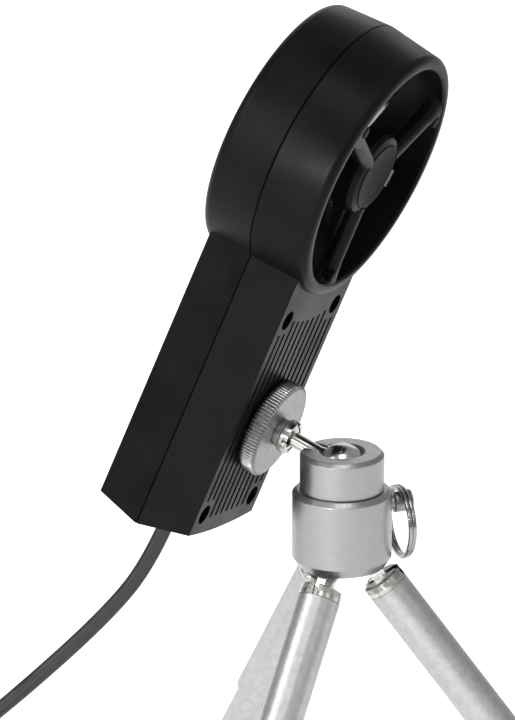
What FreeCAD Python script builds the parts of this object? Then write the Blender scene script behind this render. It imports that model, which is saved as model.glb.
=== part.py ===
import FreeCAD, Part
import math
import os
import Sketcher

# A vane anemometer: a wired sensor head on a pocket tripod with a ball joint.
# Row frame: +Z up, the floor at z = 0, lengths in millimetres.
# The head is drawn in its own frame: X along the duct (forwards), Y across, Z from the tail to the ring.
# The stand is drawn with its origin on the collar's axis at the collar's lower face.
# Each leg is drawn hanging straight down from its pivot, with X outwards and Y along the pivot pin.

doc = FreeCAD.newDocument("vane_anemometer")
V = FreeCAD.Vector

DIMENSIONS = {
    "sensor head": {
        "head_yaw": -27.5, "head_pitch": 19.8, "head_roll": -9.9,
        "ring_radius": 33.0, "ring_front": 14.8, "ring_back": 14.4,
        "ring_front_radius": 31.5, "ring_back_radius": 31.9, "rim_round": 2.0, "rear_round": 2.6,
        "duct_radius": 28.9, "mouth_radius": 28.4, "mouth_depth": 6.0,
        "mouth_bevel": 0.5,
        "handle_half": 21.5, "handle_front": 12.5, "handle_back": 12.1, "handle_tail": 99.0,
        "tail_bow": 1.3, "front_draft": 13.4, "back_draft": 10.3,
        "cavity_half": 15.9, "cavity_top": 35.5, "cavity_tail": 93.0, "cavity_depth": 10.4,
    },
    "spiders and rotor": {
        "hub_radius": 10.4, "hub_front": 14.0, "hub_back": 8.0, "hub_disc_radius": 8.5,
        "hub_disc_seat": 13.2, "hub_round": 1.8, "rear_shift": 0.6,
        "spoke_radius": 2.2, "spoke_middle": 12.2,
        "bearing_radius": 2.5, "bearing_length": 2.5, "shaft_radius": 0.75, "running_gap": 0.05,
        "shaft_half": 9.8, "rotor_hub_radius": 9.0, "rotor_hub_half": 6.0,
        "blade_tip_radius": 27.2, "blade_thick": 0.6, "blade_half_chord": 5.6,
        "blade_root_angle": 38.0, "blade_tip_angle": 58.0, "magnet_radius": 4.0, "magnet_length": 3.0,
    },
    "head fittings": {
        "screw_across": 14.05, "screw_near": 37.3, "screw_far": 90.0, "screw_recess": 2.5,
        "recess_floor": 3.0, "screw_head_radius": 2.3, "screw_head_height": 1.8,
        "screw_shank_radius": 1.2, "screw_length": 9.0, "boss_radius": 3.6,
        "groove_pitch": 3.1, "groove_width": 1.2, "groove_deep": 0.8, "groove_top_radius": 39.3,
        "groove_end": 91.6, "side_groove_top": 41.2, "side_groove_end": 86.2,
        "stud_seat": 67.4, "insert_radius": 4.4, "insert_length": 7.6, "insert_boss": 6.4,
        "board_half_width": 13.0, "board_top": 43.0, "board_bottom": 86.0,
        "board_thick": 1.6, "board_level": -4.6,
        "pickup_width": 1.6, "pickup_height": 4.4, "pickup_level": 7.6, "pickup_turn": 15.0,
        "gland_radius": 3.4, "gland_flange": 4.4, "gland_length": 8.0, "cable_radius": 2.0,
    },
    "ball stud and wheel": {
        "stud_reach": 34.8, "stud_radius": 3.175, "stud_engaged": 7.0, "neck_radius": 1.9,
        "ball_radius": 5.7, "wheel_radius": 12.0, "wheel_back": 12.8, "wheel_face": 17.2,
        "wheel_chamfer": 0.4, "nut_back": 17.5, "nut_flange": 18.7, "nut_front": 20.9,
        "nut_radius": 4.2, "nut_shoulder_radius": 3.6, "nut_notch": 1.6,
    },
    "collar and clamp": {
        "stand_offset": -11.7, "collar_radius": 11.9, "collar_height": 19.2,
        "collar_chamfer": 1.1, "collar_foot_inset": 1.5, "collar_foot_rise": 2.3,
        "cap_radius": 10.1, "cap_base": 19.3, "cap_top": 28.46, "cap_chamfer": 0.9,
        "cap_mouth": 4.95, "cap_lip": 27.8, "ball_height": 24.55, "ball_gap": 0.1,
        "sleeve_radius": 8.0, "sleeve_base": 9.0, "bore_floor": 7.0, "slot_width": 4.6,
        "slot_floor": 21.9, "slot_turn": 152.5, "seat_radius": 5.7, "seat_top": 21.5,
        "hub_disc": 9.4, "hub_thick": 5.0, "hub_proud": 0.4, "hub_slot": 2.6, "hub_slot_top": 3.6,
        "post_turn": 20.0, "post_height": 13.8, "post_neck": 1.7, "post_radius": 2.45,
        "post_neck_end": 13.0, "post_end": 17.4, "post_lip": 2.75, "post_root": 9.9,
        "keyring_wire": 0.55, "keyring_radius": 8.4, "keyring_reach": 14.9,
    },
    "legs": {
        "leg_splay": 36.0, "pivot_radius": 6.08, "pivot_rise": 1.0, "pin_radius": 0.8,
        "pin_length": 7.0, "tongue_thick": 2.3, "tongue_half": 1.8, "tongue_end": 12.0,
        "leg_radius": 5.1, "leg_wall": 0.5, "plug_start": 5.31, "plug_end": 8.3,
        "plug_chamfer": 0.7, "spigot_end": 13.3, "tube_end": 58.2,
        "mid_start": 46.0, "mid_end": 90.2, "mid_radius": 4.2,
        "tip_start": 80.0, "tip_end": 118.2, "tip_radius": 3.4,
        "foot_start": 113.0, "foot_centre": 119.8, "foot_radius": 4.4, "foot_flat": 0.5,
    },
    "cable": {
        "coil_turn_radius": 22.0, "coil_rows": 3.0, "coil_layers": 2.0, "cord_pitch": 4.1,
        "layer_height": 2.4,
        "coil_x": -133.2, "coil_y": -30.0, "tie_wall": 0.7, "tie_width": 7.0,
        "jack_grip_radius": 4.5, "jack_grip_length": 20.0, "jack_relief_length": 10.0,
        "jack_shaft_radius": 1.75, "jack_shaft_length": 14.0,
    },
}


class Size:
    """A dimension, held as a number and as the sheet formula that gives the number."""

    def __init__(self, number, formula):
        self.number = float(number)
        self.formula = formula

    def __add__(self, other):
        other = size(other)
        return Size(self.number + other.number, f"({self.formula} + {other.formula})")

    def __radd__(self, other):
        return size(other) + self

    def __sub__(self, other):
        other = size(other)
        return Size(self.number - other.number, f"({self.formula} - {other.formula})")

    def __rsub__(self, other):
        return size(other) - self

    def __mul__(self, other):
        other = size(other)
        return Size(self.number * other.number, f"({self.formula} * {other.formula})")

    __rmul__ = __mul__

    def __neg__(self):
        return Size(-self.number, f"(-1 * {self.formula})")

    def __float__(self):
        return self.number


def size(value):
    return value if isinstance(value, Size) else Size(value, repr(float(value)))


def make_sheet():
    """Write the driving dimensions into the sheet, and return each one by its alias."""
    sheet = doc.addObject("Spreadsheet::Sheet", "sizes")
    named = {}
    row = 1
    for group, entries in DIMENSIONS.items():
        sheet.set(f"A{row}", group)
        row += 1
        for alias, number in entries.items():
            sheet.set(f"A{row}", alias)
            sheet.set(f"B{row}", str(number))
            sheet.setAlias(f"B{row}", alias)
            named[alias] = Size(number, f"sizes.{alias}")
            row += 1
    doc.recompute()
    return named


D = make_sheet()


def mm(alias):
    return D[alias].number


def turned(yaw, pitch=0, roll=0, at=(0, 0, 0)):
    return FreeCAD.Placement(V(*at), FreeCAD.Rotation(yaw, pitch, roll))


def around_x(angle):
    return FreeCAD.Placement(V(0, 0, 0), FreeCAD.Rotation(V(1, 0, 0), angle))


# ---------- where the three drawing frames stand in the row frame ----------

COLLAR_Z = (
    mm("foot_centre") * math.cos(math.radians(mm("leg_splay")))
    + mm("foot_radius") - mm("foot_flat") - mm("pivot_rise")
)
STAND = turned(0, at=(mm("stand_offset"), 0, COLLAR_Z))
HEAD_TURN = FreeCAD.Rotation(mm("head_yaw"), mm("head_pitch"), mm("head_roll"))
BALL = V(mm("stand_offset"), 0, COLLAR_Z + mm("ball_height"))
HEAD = FreeCAD.Placement(
    BALL - HEAD_TURN.multVec(V(mm("stud_reach"), 0, -mm("stud_seat"))), HEAD_TURN
)


def leg_frame(azimuth):
    pivot = STAND * turned(azimuth) * turned(0, at=(mm("pivot_radius"), 0, mm("pivot_rise")))
    return pivot * turned(0, -mm("leg_splay"))


# ---------- small modelling helpers ----------

FINISHED = []


def finish(thing, label, frame):
    thing.Label = label
    thing.Placement = frame * thing.Placement
    FINISHED.append(thing)
    return thing


def bind(thing, **fields):
    for field, value in fields.items():
        value = size(value)
        setattr(thing, field, value.number)
        thing.setExpression(field, value.formula)
    return thing


def new_body(name):
    return doc.addObject("PartDesign::Body", name)


def sketch_on(body, role, offset=None):
    """An empty sketch on one of the body's own origin planes, raised by offset."""
    sketch = body.newObject("Sketcher::SketchObject", body.Name + "_sketch")
    plane = next(f for f in body.Origin.OriginFeatures if f.Role == role)
    sketch.AttachmentSupport = [(plane, "")]
    sketch.MapMode = "FlatFace"
    if offset is not None:
        sketch.AttachmentOffset = turned(0, at=(0, 0, float(offset)))
        sketch.setExpression("AttachmentOffset.Base.z", size(offset).formula)
    return sketch


def hold(sketch, line, point, corner):
    """Tie a point of the sketch to the sheet, from the sketch's origin."""
    for kind, axis, value in (("DistanceX", -2, corner[0]), ("DistanceY", -1, corner[1])):
        value = size(value)
        if value.number == 0:
            sketch.addConstraint(Sketcher.Constraint("PointOnObject", line, point, axis))
            continue
        tie = Sketcher.Constraint(kind, -1, 1, line, point, value.number)
        number = sketch.addConstraint(tie)
        sketch.setExpression(f"Constraints[{number}]", value.formula)


def outline(body, role, corners, offset=None):
    """A closed outline of straight lines through the corners."""
    sketch = sketch_on(body, role, offset)
    points = [V(float(x), float(y), 0) for x, y in corners]
    for start, end in zip(points, points[1:] + points[:1]):
        sketch.addGeometry(Part.LineSegment(start, end), False)
    count = len(points)
    for line in range(count):
        joint = Sketcher.Constraint("Coincident", line, 2, (line + 1) % count, 1)
        sketch.addConstraint(joint)
    for line, corner in enumerate(corners):
        hold(sketch, line, 1, corner)
    return sketch


def circle(body, role, middle, radius, offset=None):
    sketch = sketch_on(body, role, offset)
    middle_point = V(float(middle[0]), float(middle[1]), 0)
    sketch.addGeometry(Part.Circle(middle_point, V(0, 0, 1), float(radius)), False)
    hold(sketch, 0, 3, middle)
    number = sketch.addConstraint(Sketcher.Constraint("Radius", 0, float(radius)))
    sketch.setExpression(f"Constraints[{number}]", size(radius).formula)
    return sketch


def feature(body, kind, sketch, **fields):
    made = body.newObject("PartDesign::" + kind, body.Name + "_" + kind.lower())
    made.Profile = sketch
    for field, value in fields.items():
        if isinstance(value, (Size, float)):
            bind(made, **{field: value})
        else:
            setattr(made, field, value)
    sketch.Visibility = False
    return made


def revolve(body, corners, role="XY_Plane", axis="H_Axis", cut=False):
    sketch = outline(body, role, corners)
    kind = "Groove" if cut else "Revolution"
    return feature(body, kind, sketch, ReferenceAxis=(sketch, [axis]), Angle=360.0)


def turned_part(name, corners, frame, upright=False):
    """A lathe-turned piece: its half profile turned about X, or about Z when upright."""
    body = new_body(name)
    if upright:
        revolve(body, corners, "XZ_Plane", "V_Axis")
    else:
        revolve(body, corners)
    return finish(body, name, frame)


def round_edges(body, radius, chosen):
    """Round the edges of the body's shape that chosen() accepts."""
    doc.recompute()
    tip = body.Tip
    names = [f"Edge{n + 1}" for n, edge in enumerate(tip.Shape.Edges) if chosen(edge)]
    rounding = body.newObject("PartDesign::Fillet", body.Name + "_fillet")
    rounding.Base = (tip, names)
    return bind(rounding, Radius=radius)


def is_ring(edge, radius, along):
    """True for a full circle about X of this radius at this distance along X."""
    curve = edge.Curve
    return (
        isinstance(curve, Part.Circle)
        and abs(curve.Radius - radius) < 0.01
        and abs(curve.Center.x - along) < 0.01
        and math.hypot(curve.Center.y, curve.Center.z) < 0.01
    )


def box(lengths, at, turn=None):
    """A block with these three lengths and its lowest corner at this point, then turned."""
    made = doc.addObject("Part::Box", "block")
    bind(made, Length=lengths[0], Width=lengths[1], Height=lengths[2])
    corner = turned(0, at=[float(value) for value in at])
    made.Placement = turn * corner if turn else corner
    return made


def rod(radius, length, frame):
    made = doc.addObject("Part::Cylinder", "rod")
    bind(made, Radius=radius, Height=length)
    made.Placement = frame
    return made


def join(*pieces):
    made = doc.addObject("Part::MultiFuse", "joined")
    made.Shapes = list(pieces)
    return made


def group(*pieces):
    made = doc.addObject("Part::Compound", "grouped")
    made.Links = list(pieces)
    return made


def cut(base, tool):
    made = doc.addObject("Part::Cut", "cut")
    made.Base = base
    made.Tool = tool
    return made


def along_x(x, y=0.0, z=0.0):
    """A frame at this point whose Z runs along X."""
    point = V(float(x), float(y), float(z))
    return FreeCAD.Placement(point, FreeCAD.Rotation(V(0, 1, 0), 90))


def solid_part(name, shape, frame):
    made = doc.addObject("Part::Feature", name)
    made.Shape = shape
    return finish(made, name, frame)


# ---------- sensor head: the two shells ----------

SCREWS = [(side * D["screw_across"], -D[row]) for side in (-1, 1) for row in ("screw_near", "screw_far")]


def handle_outline(body):
    """The handle's outline at the seam: two sides, and a tail that bows outwards."""
    half, top, tail = D["handle_half"], D["ring_radius"] * -0.6, -D["handle_tail"]
    corner = tail + D["tail_bow"]
    sketch = sketch_on(body, "YZ_Plane")
    left_top, left_low = V(-float(half), float(top), 0), V(-float(half), float(corner), 0)
    right_top, right_low = V(float(half), float(top), 0), V(float(half), float(corner), 0)
    sketch.addGeometry(Part.LineSegment(left_top, left_low), False)
    sketch.addGeometry(Part.Arc(left_low, V(0, float(tail), 0), right_low), False)
    sketch.addGeometry(Part.LineSegment(right_low, right_top), False)
    sketch.addGeometry(Part.LineSegment(right_top, left_top), False)
    arc_start, arc_end = (1, 2) if sketch.Geometry[1].StartPoint.x < 0 else (2, 1)
    for first, first_end, second, second_end in (
        (0, 2, 1, arc_start), (1, arc_end, 2, 1), (2, 2, 3, 1), (3, 2, 0, 1),
    ):
        sketch.addConstraint(Sketcher.Constraint("Coincident", first, first_end, second, second_end))
    hold(sketch, 0, 1, (-half, top))
    hold(sketch, 0, 2, (-half, corner))
    hold(sketch, 2, 1, (half, corner))
    hold(sketch, 2, 2, (half, top))
    arc = sketch.Geometry[1]
    number = sketch.addConstraint(Sketcher.Constraint("Radius", 1, arc.Radius))
    radius = "(sizes.handle_half ^ 2 + sizes.tail_bow ^ 2) / (2 * sizes.tail_bow)"
    sketch.setExpression(f"Constraints[{number}]", radius)
    return sketch


def shell(name, side, depth, edge_radius, handle_depth, draft, rounding):
    """One half of the housing: side is 1 for the front half and -1 for the rear half."""
    body = new_body(name)
    feature(
        body, "Pad", handle_outline(body), Length=handle_depth, TaperAngle=-draft,
        Reversed=side < 0,
    )
    far = side * depth
    revolve(body, [(0, 0), (0, D["ring_radius"]), (far, edge_radius), (far, 0)])
    round_edges(body, rounding, lambda edge: is_ring(edge, edge_radius.number, far.number))
    lip = side * (depth - D["mouth_depth"])
    beyond = side * (depth + 2)
    duct, mouth, bevel = D["duct_radius"], D["mouth_radius"], D["mouth_bevel"]
    rim = mouth + bevel
    revolve(
        body,
        [(side * -1.0, 0), (side * -1.0, duct), (lip, duct), (lip, mouth),
         (far - side * bevel, mouth), (far, rim), (beyond, rim), (beyond, 0)],
        cut=True,
    )
    return body


def spider(body, side, shift):
    """The three spokes and the hub that hold the rotor's bearing."""
    middle = side * (D["spoke_middle"] - shift)
    for azimuth in (180, 60, -60):
        spoke = circle(body, "XY_Plane", (middle, 0), D["spoke_radius"])
        spoke.AttachmentOffset = around_x(azimuth)
        feature(body, "Pad", spoke, Length=D["mouth_radius"] + 0.8)
    hub, disc, corner = D["hub_radius"], D["hub_disc_radius"], D["hub_round"]
    back, front = side * (D["hub_back"] - shift), side * (D["hub_front"] - shift)
    inner, outer = front - side * corner, front - side * corner * 0.3
    revolve(
        body,
        [(back, 0), (back, hub), (inner, hub), (outer, hub - corner * 0.3), (front, hub - corner),
         (front, 0)],
    )
    seat = side * (D["hub_disc_seat"] - shift)
    revolve(body, [(seat, 0), (seat, disc), (front + side, disc), (front + side, 0)], cut=True)
    bearing, end = D["bearing_radius"], back + side * D["bearing_length"]
    revolve(body, [(back - side, 0), (back - side, bearing), (end, bearing), (end, 0)], cut=True)


def front_shell():
    side = 1
    body = shell(
        "front_shell", side, D["ring_front"], D["ring_front_radius"], D["handle_front"],
        D["front_draft"], D["rim_round"],
    )
    spider(body, side, size(0))
    hollow(body, side, D["handle_front"])
    front = D["handle_front"]
    for across, along in SCREWS:
        recess = circle(body, "YZ_Plane", (across, along), D["screw_recess"], offset=D["recess_floor"])
        feature(body, "Pocket", recess, Length=front, Reversed=True)
        clear = circle(body, "YZ_Plane", (across, along), D["screw_shank_radius"] + 0.05)
        feature(body, "Pocket", clear, Length=front, Reversed=True)
    hole = circle(body, "YZ_Plane", (0, -D["stud_seat"]), D["insert_radius"])
    feature(body, "Pocket", hole, Length=front + 2, Reversed=True)
    grip_grooves(body)
    gland_hole(body)
    return finish(body, "front_shell", HEAD)


def hollow(body, side, handle_depth):
    """The handle's cavity, with the four screw columns and, in front, the boss of the stud's insert."""
    half, top, tail = D["cavity_half"], -D["cavity_top"], -D["cavity_tail"]
    corners = [(-half, top), (-half, tail), (half, tail), (half, top)]
    cavity = outline(body, "YZ_Plane", corners)
    deep = D["cavity_depth"]
    feature(body, "Pocket", cavity, Length=deep, Reversed=side > 0)
    for across, along in SCREWS:
        column = circle(body, "YZ_Plane", (across, along), D["boss_radius"])
        feature(body, "Pad", column, Length=deep + 0.5, Reversed=side < 0)
    if side > 0:
        start = D["handle_front"] - D["insert_length"] - 0.4
        boss = circle(body, "YZ_Plane", (0, -D["stud_seat"]), D["insert_boss"], offset=start)
        feature(body, "Pad", boss, Length=D["insert_length"] - 1.0)


def grip_grooves(body):
    """Eleven shallow grooves along the front of the handle."""
    pitch, half = D["groove_pitch"], D["groove_width"] * 0.5
    front, deep = D["handle_front"], D["groove_deep"]
    for number in range(-5, 6):
        middle = number * pitch
        if abs(number) < 4:
            drop = math.sqrt(mm("groove_top_radius") ** 2 - middle.number ** 2)
            start, end = -size(drop), -D["groove_end"]
        else:
            start, end = -D["side_groove_top"], -D["side_groove_end"]
        left, right = middle - half, middle + half
        corners = [(left, start), (left, end), (right, end), (right, start)]
        groove = outline(body, "YZ_Plane", corners, offset=front - deep)
        feature(body, "Pocket", groove, Length=3.0, Reversed=True)


def gland_hole(body):
    hole = circle(body, "XY_Plane", (0, 0), D["gland_radius"], offset=-D["handle_tail"] - 2)
    feature(body, "Pocket", hole, Length=D["gland_length"] + 3, Reversed=True)


def rear_shell():
    side = -1
    body = shell(
        "rear_shell", side, D["ring_back"], D["ring_back_radius"], D["handle_back"],
        D["back_draft"], D["rear_round"],
    )
    spider(body, side, D["rear_shift"])
    hollow(body, side, D["handle_back"])
    for across, along in SCREWS:
        pilot = circle(body, "YZ_Plane", (across, along), D["screw_shank_radius"])
        feature(body, "Pocket", pilot, Length=D["screw_length"] - D["recess_floor"] + 0.4)
    half, level = D["board_half_width"], D["board_level"]
    for along in (-52.0, -78.0):
        corners = [(-half, along - 1), (-half, along + 1), (half, along + 1), (half, along - 1)]
        rib = outline(body, "YZ_Plane", corners, offset=level)
        feature(body, "Pad", rib, Length=D["cavity_depth"] + level + 0.4, Reversed=True)
    gland_hole(body)
    return finish(body, "rear_shell", HEAD)


front_shell()
rear_shell()

# ---------- sensor head: rotor, bearings and what the handle holds ----------


def hub_cap(name, side, shift):
    """The round cover pressed into the hub, with a low rim."""
    seat, front = side * (D["hub_disc_seat"] - shift), side * (D["hub_front"] - shift)
    disc, proud = D["hub_disc_radius"], side * 0.25
    corners = [
        (seat, 0), (seat, disc), (front, disc), (front + proud, disc - 0.25),
        (front + proud, disc - 0.7), (front, disc - 1.1), (front, 0),
    ]
    turned_part(name, corners, HEAD)


def bearing(name, side, shift):
    back = side * (D["hub_back"] - shift)
    front = back + side * D["bearing_length"]
    bore, outside = D["shaft_radius"] + D["running_gap"], D["bearing_radius"]
    turned_part(name, [(back, bore), (back, outside), (front, outside), (front, bore)], HEAD)


def blade_section(radius, half_chord, angle):
    """The thin rectangle of a blade at this radius, its chord turned from the duct's axis by angle."""
    chord = V(math.cos(math.radians(angle)), math.sin(math.radians(angle)), 0) * half_chord
    across = V(-chord.y, chord.x, 0).normalize() * (mm("blade_thick") / 2)
    corners = [chord + across, chord - across, -chord - across, -chord + across]
    return Part.makePolygon([corner + V(0, 0, radius) for corner in corners + corners[:1]])


def impeller():
    """A hub with eight twisted sheet blades."""
    half, hub = mm("rotor_hub_half"), mm("rotor_hub_radius")
    axis = V(1, 0, 0)
    shape = Part.makeCylinder(hub, 2 * half, V(-half, 0, 0), axis)
    shape = shape.makeFillet(1.0, [edge for edge in shape.Edges if isinstance(edge.Curve, Part.Circle)])
    root = blade_section(hub - 0.8, mm("blade_half_chord") * 0.8, mm("blade_root_angle"))
    tip = blade_section(mm("blade_tip_radius") - 0.8, mm("blade_half_chord") * 1.2, mm("blade_tip_angle"))
    blade = Part.makeLoft([root, tip], True, True)
    for number in range(8):
        turned_blade = blade.copy()
        turned_blade.rotate(V(0, 0, 0), axis, 45 * number)
        shape = shape.fuse(turned_blade)
    deep = mm("magnet_length")
    magnet = Part.makeCylinder(mm("magnet_radius"), deep, V(half - deep, 0, 0), axis)
    bore = Part.makeCylinder(mm("shaft_radius"), 2 * half + 2, V(-half - 1, 0, 0), axis)
    solid_part("impeller", shape.cut(magnet).cut(bore), HEAD)


def rotor():
    impeller()
    half, radius = D["shaft_half"], D["shaft_radius"]
    tip = half - 0.4
    corners = [
        (-half, 0), (-half, radius - 0.4), (-tip, radius), (tip, radius), (half, radius - 0.4), (half, 0),
    ]
    turned_part("impeller_shaft", corners, HEAD)
    end, start = D["rotor_hub_half"], D["rotor_hub_half"] - D["magnet_length"]
    magnet = D["magnet_radius"]
    corners = [(start, radius), (start, magnet), (end, magnet), (end, radius)]
    turned_part("rotor_magnet", corners, HEAD)


def housing_screws():
    screws = []
    floor, head, long = D["recess_floor"], D["screw_head_height"], D["screw_length"]
    reach = D["screw_head_radius"] + 0.5
    for across, along in SCREWS:
        top = rod(D["screw_head_radius"], head, along_x(floor, across, along))
        shank = rod(D["screw_shank_radius"], long, along_x(floor - long, across, along))
        slot = box((1.0, 2 * reach, 0.7), (floor + head - 0.7, across - reach, along - 0.35))
        screws.append(cut(join(top, shank), slot))
    finish(group(*screws), "housing_screws", HEAD)


def electronics():
    half, top, bottom = D["board_half_width"], D["board_top"], D["board_bottom"]
    level, thick = D["board_level"], D["board_thick"]
    face = level + thick
    board = box((thick, 2 * half, bottom - top), (level, -half, -bottom))
    finish(board, "main_board", HEAD)
    finish(box((1.6, 10.0, 10.0), (face, -5.0, -62.0)), "signal_chip", HEAD)
    cans = [rod(2.0, 4.6, along_x(face, side * 8.0, -49.0)) for side in (-1, 1)]
    finish(group(*cans), "board_capacitors", HEAD)
    finish(box((5.0, 10.0, 5.5), (face, -5.0, -85.5)), "lead_connector", HEAD)
    wide, tall, middle = D["pickup_width"], D["pickup_height"], D["pickup_level"]
    inner = D["duct_radius"] - 2.0
    pickup = box(
        (wide, 3.0, tall), (middle - wide * 0.5, inner, tall * -0.5), around_x(-mm("pickup_turn"))
    )
    finish(pickup, "pickup_sensor", HEAD)


def stud_insert():
    end = D["handle_front"] - 0.1
    start, bore, outside = end - D["insert_length"], D["stud_radius"] + 0.065, D["insert_radius"]
    corners = [(start, bore), (start, outside), (end, outside), (end, bore)]
    turned_part("stud_insert", corners, STUD)


def cable_gland():
    """The bush in the tail that the cable leaves through, with an inner flange."""
    outside, inside = -D["handle_tail"] + 0.2, -D["handle_tail"] + D["gland_length"]
    wall = -D["cavity_tail"]
    radius, flange = D["gland_radius"], D["gland_flange"]
    corners = [
        (0, outside), (radius, outside), (radius, wall), (flange, wall), (flange, inside), (0, inside),
    ]
    turned_part("cable_gland", corners, HEAD, upright=True)


STUD = HEAD * turned(0, at=(0, 0, -mm("stud_seat")))

hub_cap("front_hub_cap", 1, size(0))
hub_cap("rear_hub_cap", -1, D["rear_shift"])
bearing("front_bearing", 1, size(0))
bearing("rear_bearing", -1, D["rear_shift"])
rotor()
housing_screws()
electronics()
stud_insert()
cable_gland()

# ---------- ball stud, its nut and the thumbwheel ----------


def ball_stud():
    reach, radius, neck = D["stud_reach"], D["stud_radius"], D["neck_radius"]
    start, nut = D["handle_front"] - D["stud_engaged"], D["nut_front"]
    body = new_body("stud_rod")
    corners = [
        (start, 0), (start, radius - 0.4), (start + 0.4, radius), (nut, radius),
        (nut, neck), (reach - D["ball_radius"] * 0.8, neck), (reach - D["ball_radius"] * 0.8, 0),
    ]
    revolve(body, corners)
    ball = bind(doc.addObject("Part::Sphere", "ball"), Radius=D["ball_radius"])
    ball.Placement = turned(0, at=(reach.number, 0, 0))
    finish(join(body, ball), "ball_stud", STUD)


def stud_nut():
    """A round nut with a shoulder and four notches in its flange."""
    back, flange, front = D["nut_back"], D["nut_flange"], D["nut_front"]
    bore, shoulder, outside = D["stud_radius"], D["nut_shoulder_radius"], D["nut_radius"]
    body = new_body("stud_nut")
    corners = [
        (back, bore), (back, shoulder), (flange, shoulder), (flange, outside), (front, outside),
        (front, bore),
    ]
    revolve(body, corners)
    notch, long = D["nut_notch"] * 0.5, outside + 1
    for across, along in ((notch, long), (long, notch)):
        corners = [(-across, -along), (-across, along), (across, along), (across, -along)]
        groove = outline(body, "YZ_Plane", corners, offset=front - 1.2)
        feature(body, "Pocket", groove, Length=3.0, Reversed=True)
    finish(body, "stud_nut", STUD)


def thumbwheel():
    back, face, edge, bevel = D["wheel_back"], D["wheel_face"], D["wheel_radius"], D["wheel_chamfer"]
    bore = D["stud_radius"] + 0.065
    corners = [
        (back, bore), (back, edge - bevel), (back + bevel, edge),
        (face - bevel, edge), (face, edge - bevel), (face, bore),
    ]
    turned_part("thumbwheel", corners, STUD)


ball_stud()
stud_nut()
thumbwheel()

# ---------- collar, clamp cap and key ring ----------


def socket_ball():
    """The space of the ball with its running gap, in the stand's frame."""
    space = bind(doc.addObject("Part::Sphere", "socket"), Radius=D["ball_radius"] + D["ball_gap"])
    space.Placement = turned(0, at=(0, 0, mm("ball_height")))
    return space


def clamp_cap():
    """The knob that screws down on the ball, with a mouth and a side slot for the stud."""
    outside, top, bevel, base = D["cap_radius"], D["cap_top"], D["cap_chamfer"], D["cap_base"]
    sleeve, foot, bore = D["sleeve_radius"], D["sleeve_base"], D["ball_radius"] + D["ball_gap"]
    mouth, lip, middle = D["cap_mouth"], D["cap_lip"], D["ball_height"]
    body = new_body("cap_blank")
    corners = [
        (bore, foot), (sleeve, foot), (sleeve, base), (outside, base), (outside, top - bevel),
        (outside - bevel, top), (mouth + top - lip, top), (mouth, lip), (mouth, middle), (bore, middle),
    ]
    revolve(body, corners, "XZ_Plane", "V_Axis")
    width, floor = D["slot_width"], D["slot_floor"]
    slot = box((outside + 2, width, top - floor + 2), (0, width * -0.5, floor), turned(mm("slot_turn")))
    finish(cut(cut(body, socket_ball()), slot), "clamp_cap", STAND)


def ball_seat():
    radius, floor, top = D["seat_radius"], D["bore_floor"], D["seat_top"]
    body = new_body("seat_blank")
    revolve(body, [(0, floor), (radius, floor), (radius, top), (0, top)], "XZ_Plane", "V_Axis")
    finish(cut(body, socket_ball()), "ball_seat", STAND)


def post_frame():
    """The key ring's post: X runs out of the collar along the post."""
    return STAND * turned(mm("post_turn")) * turned(0, at=(0, 0, mm("post_height")))


def collar():
    outside, height, bevel = D["collar_radius"], D["collar_height"], D["collar_chamfer"]
    inset, rise, bore = D["collar_foot_inset"], D["collar_foot_rise"], D["sleeve_radius"] + 0.05
    socket, floor = D["hub_disc"], D["bore_floor"]
    body = new_body("collar_blank")
    corners = [
        (socket, 0), (outside - inset, 0), (outside, rise), (outside, height - bevel),
        (outside - bevel, height), (bore, height), (bore, floor), (0, floor),
        (0, D["hub_thick"]), (socket, D["hub_thick"]),
    ]
    revolve(body, corners, "XZ_Plane", "V_Axis")
    hole = rod(D["post_neck"], 4.0, STAND.inverse() * post_frame() * along_x(D["post_root"]))
    finish(cut(body, hole), "tripod_collar", STAND)


def leg_hub():
    """The disc in the collar's foot, with a slot and a pin hole for each leg."""
    low = -D["hub_proud"]
    disc = rod(D["hub_disc"], D["hub_thick"] - low, turned(0, at=(0, 0, low.number)))
    width = D["hub_slot"]
    gaps = []
    for azimuth in AZIMUTHS:
        slot = box((8.0, width, D["hub_slot_top"] + 1), (2.6, width * -0.5, -1.0), turned(azimuth))
        gaps += [slot, rod(D["pin_radius"], D["pin_length"], STAND.inverse() * pin_frame(azimuth))]
    finish(cut(disc, join(*gaps)), "leg_hub", STAND)


def pin_frame(azimuth):
    """The pin of a leg: Z runs along the pin, from its end."""
    return leg_frame(azimuth) * turned(0, 0, -90, at=(0, -mm("pin_length") / 2, 0))


def key_ring():
    neck, radius, lip = D["post_neck"], D["post_radius"], D["post_lip"]
    root, step, end = D["post_root"], D["post_neck_end"], D["post_end"]
    corners = [
        (root, 0), (root, neck), (step, neck), (step, radius), (end - 0.5, radius),
        (end - 0.5, lip), (end, lip), (end, 0),
    ]
    turned_part("keyring_post", corners, post_frame())
    drop = mm("keyring_radius") - mm("keyring_wire") - mm("post_radius") - 0.3
    turns = []
    for side in (-0.5, 0.5):
        torus = doc.addObject("Part::Torus", "turn")
        turn = bind(torus, Radius1=D["keyring_radius"], Radius2=D["keyring_wire"])
        turn.Placement = along_x(side)
        turns.append(turn)
    finish(join(*turns), "keyring", post_frame() * turned(0, at=(mm("keyring_reach"), 0, -drop)))


AZIMUTHS = (0, 120, 240)

clamp_cap()
ball_seat()
collar()
leg_hub()
key_ring()

# ---------- legs ----------


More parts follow.
